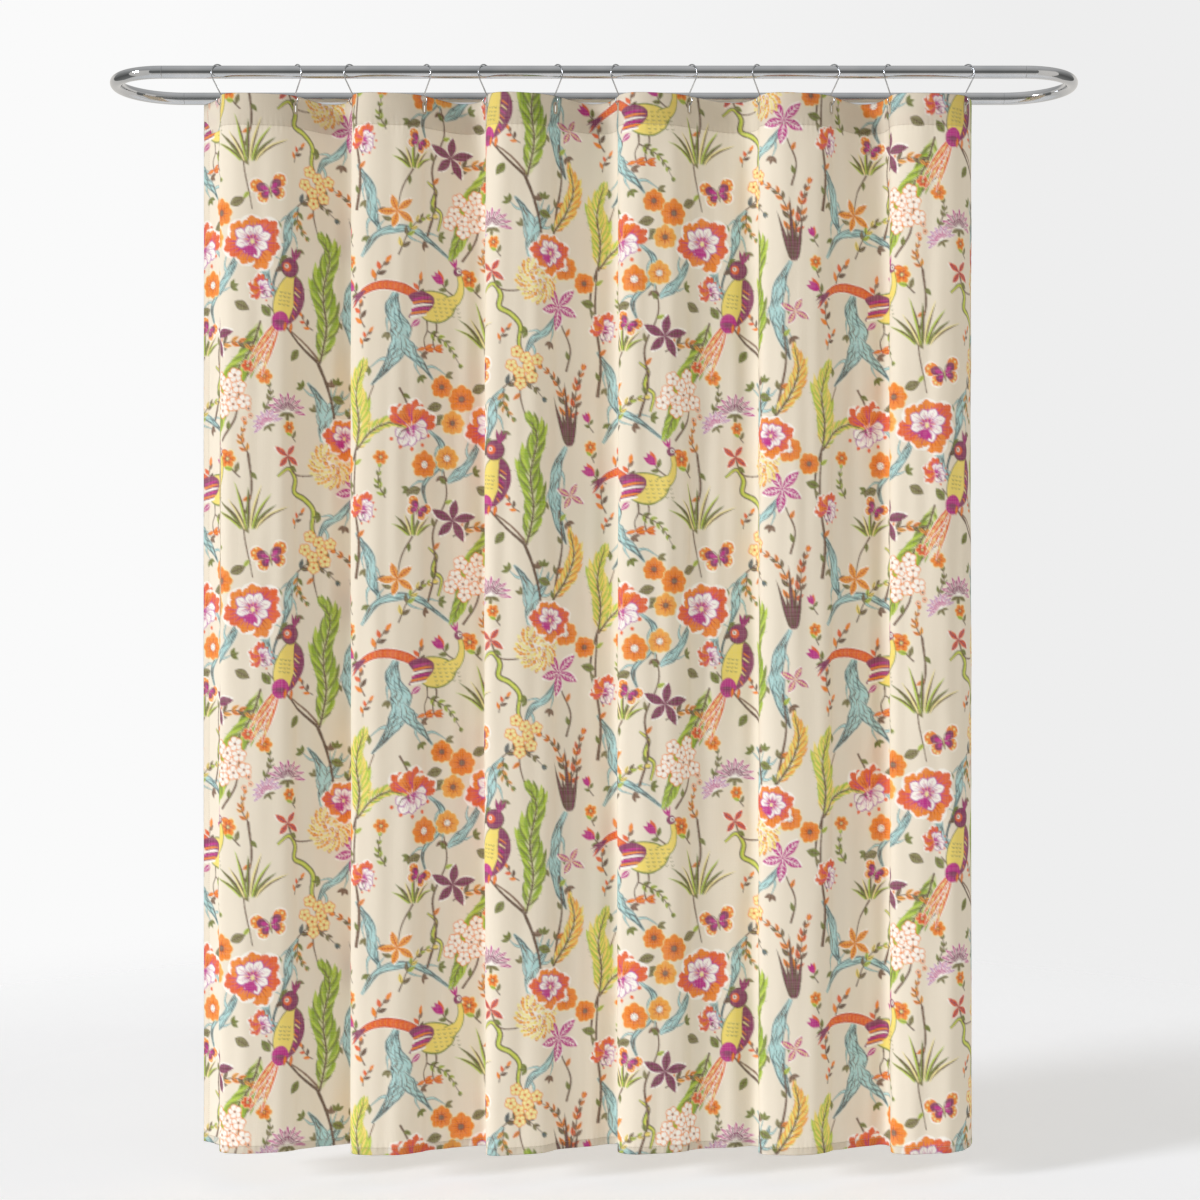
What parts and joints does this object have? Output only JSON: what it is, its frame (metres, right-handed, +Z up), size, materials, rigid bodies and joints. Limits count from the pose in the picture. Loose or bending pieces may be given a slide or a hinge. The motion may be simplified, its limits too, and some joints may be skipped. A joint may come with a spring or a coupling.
{
  "type": "shower curtain",
  "caption": "Fabric shower curtain hung in soft folds by open wire hooks from an oval hoop rail, with a hemmed top, stitched buttonholes and chrome tubes.",
  "frame": {"origin": "centre of the hoop rail, level with its tubes' axes, where the rail is held", "axes": "+X along the straight tubes to the curtain's right as seen from its front, +Y from the front tube to the back tube, +Z up"},
  "size_m": [1.7182, 0.2489, 1.8831],
  "materials": {
    "chrome": "bright polished plate",
    "steel": "plain machined",
    "cloth": "matt slub weave with a printed pattern",
    "stitching": "close stitched thread"
  },
  "bodies": {
    "rail": {"front_tube": "chrome", "back_tube": "chrome", "end_bend_left": "chrome", "end_bend_right": "chrome", "sleeve_left_front": "steel", "set_screw_left_front": "steel", "sleeve_left_back": "steel", "set_screw_left_back": "steel", "sleeve_right_front": "steel", "set_screw_right_front": "steel", "sleeve_right_back": "steel", "set_screw_right_back": "steel"},
    "hook_01": {"hook_01": "chrome", "buttonhole_01": "stitching", "curtain_flap_left": "cloth"},
    "hook_02": {"hook_02": "chrome", "buttonhole_02": "stitching", "curtain_span_01": "cloth"},
    "hook_03": {"hook_03": "chrome", "buttonhole_03": "stitching", "curtain_span_02": "cloth"},
    "hook_04": {"hook_04": "chrome", "buttonhole_04": "stitching", "curtain_span_03": "cloth"},
    "hook_05": {"hook_05": "chrome", "buttonhole_05": "stitching", "curtain_span_04": "cloth"},
    "hook_06": {"hook_06": "chrome", "buttonhole_06": "stitching", "curtain_span_05": "cloth"},
    "hook_07": {"hook_07": "chrome", "buttonhole_07": "stitching", "curtain_span_06": "cloth"},
    "hook_08": {"hook_08": "chrome", "buttonhole_08": "stitching", "curtain_span_07": "cloth"},
    "hook_09": {"hook_09": "chrome", "buttonhole_09": "stitching", "curtain_span_08": "cloth"},
    "hook_10": {"hook_10": "chrome", "buttonhole_10": "stitching", "curtain_span_09": "cloth"},
    "hook_11": {"hook_11": "chrome", "buttonhole_11": "stitching", "curtain_span_10": "cloth"},
    "hook_12": {"hook_12": "chrome", "buttonhole_12": "stitching", "curtain_span_11": "cloth", "curtain_flap_right": "cloth"}
  },
  "joints": [
    {"name": "curtain_swing", "type": "hinge", "parent": "rail", "child": "hook_01", "pos_m": [0, -0.1, 0], "axis": [1, 0, 0], "range_deg": [-25, 25]},
    {"name": "hook_02_slide", "type": "slide", "parent": "hook_01", "child": "hook_02", "axis": [1, 0, 0], "range_m": [-0.085, 0.008], "deforming": ["curtain_span_01"]},
    {"name": "hook_03_slide", "type": "slide", "parent": "hook_02", "child": "hook_03", "axis": [1, 0, 0], "range_m": [-0.064, 0.008], "deforming": ["curtain_span_02"]},
    {"name": "hook_04_slide", "type": "slide", "parent": "hook_03", "child": "hook_04", "axis": [1, 0, 0], "range_m": [-0.081, 0.008], "deforming": ["curtain_span_03"]},
    {"name": "hook_05_slide", "type": "slide", "parent": "hook_04", "child": "hook_05", "axis": [1, 0, 0], "range_m": [-0.07, 0.008], "deforming": ["curtain_span_04"]},
    {"name": "hook_06_slide", "type": "slide", "parent": "hook_05", "child": "hook_06", "axis": [1, 0, 0], "range_m": [-0.078, 0.008], "deforming": ["curtain_span_05"]},
    {"name": "hook_07_slide", "type": "slide", "parent": "hook_06", "child": "hook_07", "axis": [1, 0, 0], "range_m": [-0.071, 0.008], "deforming": ["curtain_span_06"]},
    {"name": "hook_08_slide", "type": "slide", "parent": "hook_07", "child": "hook_08", "axis": [1, 0, 0], "range_m": [-0.08, 0.008], "deforming": ["curtain_span_07"]},
    {"name": "hook_09_slide", "type": "slide", "parent": "hook_08", "child": "hook_09", "axis": [1, 0, 0], "range_m": [-0.079, 0.008], "deforming": ["curtain_span_08"]},
    {"name": "hook_10_slide", "type": "slide", "parent": "hook_09", "child": "hook_10", "axis": [1, 0, 0], "range_m": [-0.081, 0.008], "deforming": ["curtain_span_09"]},
    {"name": "hook_11_slide", "type": "slide", "parent": "hook_10", "child": "hook_11", "axis": [1, 0, 0], "range_m": [-0.066, 0.008], "deforming": ["curtain_span_10"]},
    {"name": "hook_12_slide", "type": "slide", "parent": "hook_11", "child": "hook_12", "axis": [1, 0, 0], "range_m": [-0.085, 0.008], "deforming": ["curtain_span_11"]}
  ]
}
